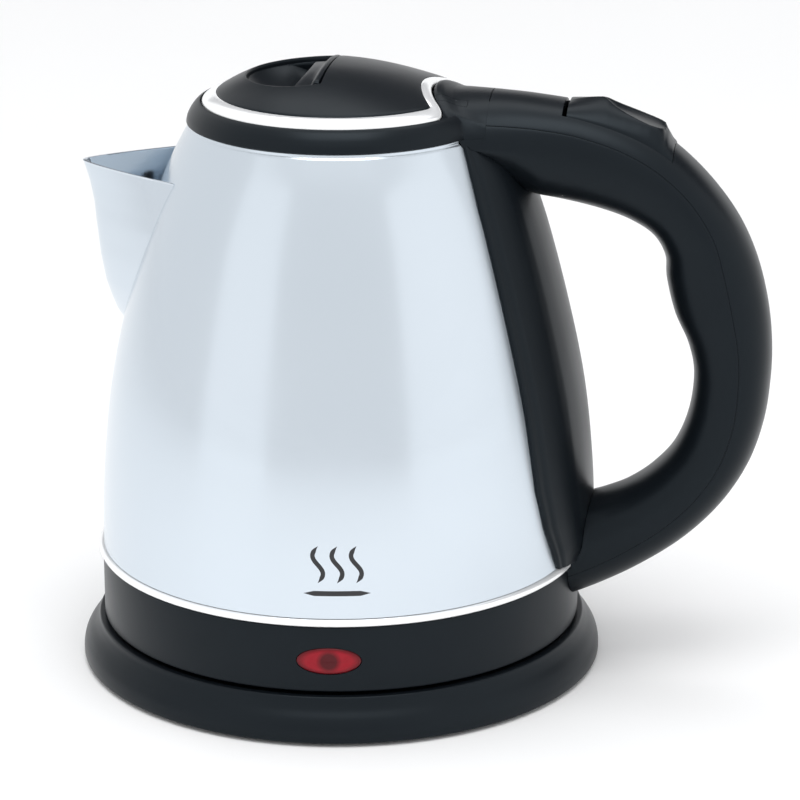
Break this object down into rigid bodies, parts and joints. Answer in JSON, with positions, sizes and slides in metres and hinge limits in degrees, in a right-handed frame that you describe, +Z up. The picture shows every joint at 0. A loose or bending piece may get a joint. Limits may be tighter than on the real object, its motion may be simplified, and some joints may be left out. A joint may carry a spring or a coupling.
{
  "type": "electric kettle",
  "caption": "Cordless electric kettle: tapered polished steel body with a beak spout, black lid and loop handle, standing on a round swivel power base.",
  "frame": {"origin": "on the kettle's swivel axis, in the plane of the feet's soles (the base's flat underside hub is 1.2 mm above it)", "axes": "+Z up along the swivel axis, +X towards the handle, -X towards the spout"},
  "size_m": [0.2105, 0.1605, 0.1848],
  "materials": {
    "black_moulding": "black polypropylene, satin gloss with a very fine texture",
    "foot_rubber": "soft black rubber",
    "polished_steel": "stainless steel sheet, bright polished",
    "bright_trim": "mirror bright",
    "contact_brass": "plain",
    "zinc_steel": "bright zinc plate",
    "spreader_aluminium": "as rolled",
    "element_steel": "dull heat-darkened sheath",
    "white_moulding": "heat-resistant nylon",
    "lens_red": "dark red transparent plastic",
    "lamp_glass": "clear neon bulb",
    "wire_cover": "silicone sleeve",
    "seal_silicone": "translucent silicone"
  },
  "bodies": {
    "power_base": {"base_cover": "black_moulding", "base_bottom_plate": "black_moulding", "base_foot_1": "foot_rubber", "base_foot_2": "foot_rubber", "base_foot_3": "foot_rubber", "base_foot_4": "foot_rubber", "base_foot_5": "foot_rubber", "base_foot_6": "foot_rubber", "base_socket": "black_moulding", "socket_live_sleeve": "contact_brass", "socket_neutral_ring": "contact_brass", "socket_earth_band": "contact_brass", "shutter_spring": "zinc_steel", "cord_entry_grommet": "foot_rubber", "base_screw_1": "zinc_steel", "base_screw_2": "zinc_steel", "base_screw_3": "zinc_steel"},
    "socket_ring": {"socket_shutter_ring": "white_moulding"},
    "kettle": {"bottom_cover": "black_moulding", "bead_ring": "bright_trim", "heating_plate": "polished_steel", "heat_spreader": "spreader_aluminium", "heating_element": "element_steel", "control_housing": "black_moulding", "control_pin": "contact_brass", "control_ring": "contact_brass", "bimetal_disc_1": "zinc_steel", "bimetal_disc_2": "zinc_steel", "indicator_lens": "lens_red", "neon_lamp": "lamp_glass", "switch_wire_1": "wire_cover", "switch_wire_2": "wire_cover", "bottom_screw_1": "zinc_steel", "bottom_screw_2": "zinc_steel", "bottom_screw_3": "zinc_steel", "kettle_body": "polished_steel", "spout": "polished_steel", "collar": "black_moulding", "lid_hinge_pin": "zinc_steel", "spine_panel": "black_moulding", "handle_outer_cover": "black_moulding", "handle_inner_grip": "black_moulding", "steam_switch_body": "white_moulding", "steam_bimetal": "zinc_steel", "trip_lever_pin": "zinc_steel", "rocker_pin": "zinc_steel", "rocker_spring": "zinc_steel"},
    "rocker": {"switch_rocker": "black_moulding"},
    "lever": {"trip_lever": "white_moulding"},
    "lid": {"lid_panel": "black_moulding", "lid_trim_ring": "bright_trim", "lid_inner_cover": "black_moulding", "lid_seal": "seal_silicone", "latch_lever_pin": "zinc_steel", "latch_spring": "zinc_steel"},
    "latch": {"latch_lever": "black_moulding"},
    "latch_bar": {"latch_slider": "black_moulding"}
  },
  "joints": [
    {"name": "base_swivel", "type": "hinge", "parent": "power_base", "child": "socket_ring", "pos_m": [0, 0, 0], "axis": [0, 0, 1], "continuous": true},
    {"name": "kettle_lift", "type": "slide", "parent": "socket_ring", "child": "kettle", "axis": [0, 0, 1], "range_m": [0, 0.1]},
    {"name": "lid_hinge", "type": "hinge", "parent": "kettle", "child": "lid", "pos_m": [0.0365, 0, 0.176], "axis": [0, 1, 0], "range_deg": [0, 75]},
    {"name": "latch_press", "type": "hinge", "parent": "lid", "child": "latch", "pos_m": [-0.003, 0, 0.183], "axis": [0, 1, 0], "range_deg": [-14, 0], "stiffness_Nm_per_rad": 0.008, "springref_deg": 8.59},
    {"name": "latch_slide", "type": "slide", "parent": "lid", "child": "latch_bar", "axis": [1, 0, 0], "range_m": [0, 0.0035], "deforming": ["latch_spring"]},
    {"name": "switch_rock", "type": "hinge", "parent": "kettle", "child": "rocker", "pos_m": [0.084, 0, 0.166], "axis": [0, 1, 0], "range_deg": [0, 9]},
    {"name": "trip_lever_turn", "type": "hinge", "parent": "kettle", "child": "lever", "pos_m": [0.088, 0, 0.1598], "axis": [0, 1, 0], "range_deg": [0, 4.5]}
  ],
  "couplings": [
    {"joint": "latch_slide", "follows": "latch_press", "m_per_rad": -0.014},
    {"joint": "trip_lever_turn", "follows": "switch_rock", "ratio": 0.5}
  ]
}
